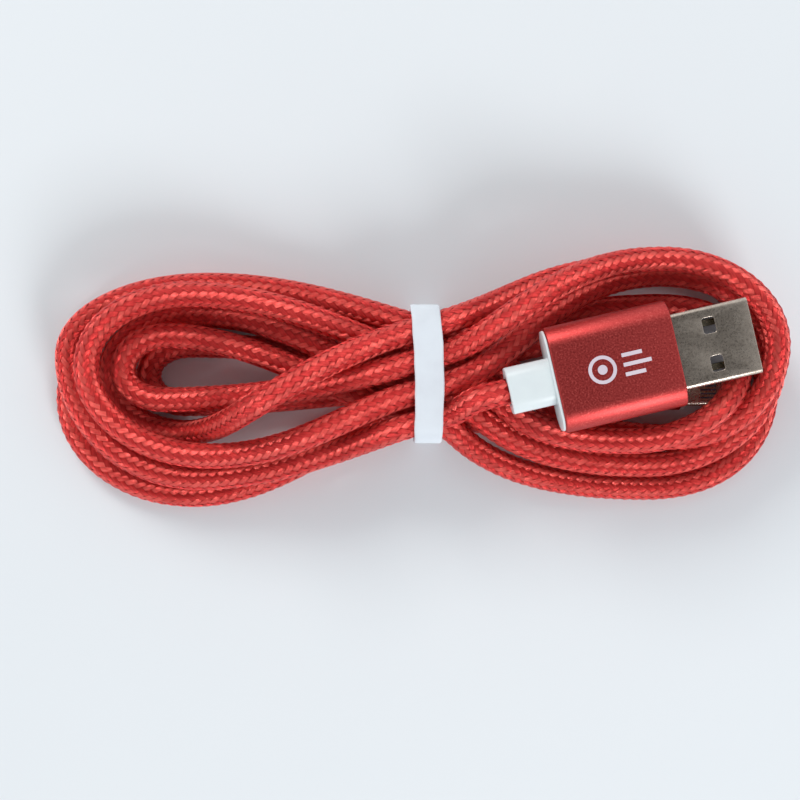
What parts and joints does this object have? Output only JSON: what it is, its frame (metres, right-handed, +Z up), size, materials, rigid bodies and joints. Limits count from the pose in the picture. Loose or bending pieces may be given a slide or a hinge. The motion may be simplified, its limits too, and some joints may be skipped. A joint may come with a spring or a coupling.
{
  "type": "charging cable",
  "caption": "Braided charging cable in a figure-eight hank under a white elastic tie, with a rectangular plug and a flat tab plug in metal sleeves.",
  "frame": {"origin": "middle of the hank's footprint, at the height of the surface it lies on", "axes": "+X along the hank towards the plugs, +Y across it, +Z up"},
  "size_m": [0.1208, 0.0422, 0.0201],
  "materials": {
    "braid": "woven, slight sheen",
    "tie": "smooth, translucent white",
    "anodised": "bead-blasted, anodised red",
    "white_plastic": "smooth",
    "steel": "satin nickel plate",
    "pale_plastic": "moulded",
    "gold": "gold plate",
    "tin": "solder",
    "grey_jacket": "extruded",
    "red_insulation": "extruded",
    "black_insulation": "extruded",
    "white_insulation": "extruded",
    "green_insulation": "extruded",
    "dark_plastic": "moulded",
    "board": "solder mask"
  },
  "bodies": {
    "root": {"cable": "braid", "tie_band": "tie", "usb_sleeve": "anodised", "usb_moulding": "white_plastic", "usb_shell": "steel", "usb_tongue": "pale_plastic", "usb_contacts": "gold", "usb_contact_block": "pale_plastic", "usb_solder_joints": "tin", "usb_inner_jacket": "grey_jacket", "usb_red_wire": "red_insulation", "usb_black_wire": "black_insulation", "usb_white_wire": "white_insulation", "usb_green_wire": "green_insulation", "tab_sleeve": "anodised", "tab_moulding": "white_plastic", "tab_frame": "steel", "tab_insert": "dark_plastic", "tab_contacts": "gold", "tab_board": "board", "tab_chip": "dark_plastic", "tab_solder_joints": "tin", "tab_inner_jacket": "grey_jacket", "tab_red_wire": "red_insulation", "tab_black_wire": "black_insulation", "tab_white_wire": "white_insulation", "tab_green_wire": "green_insulation"}
  },
  "joints": []
}
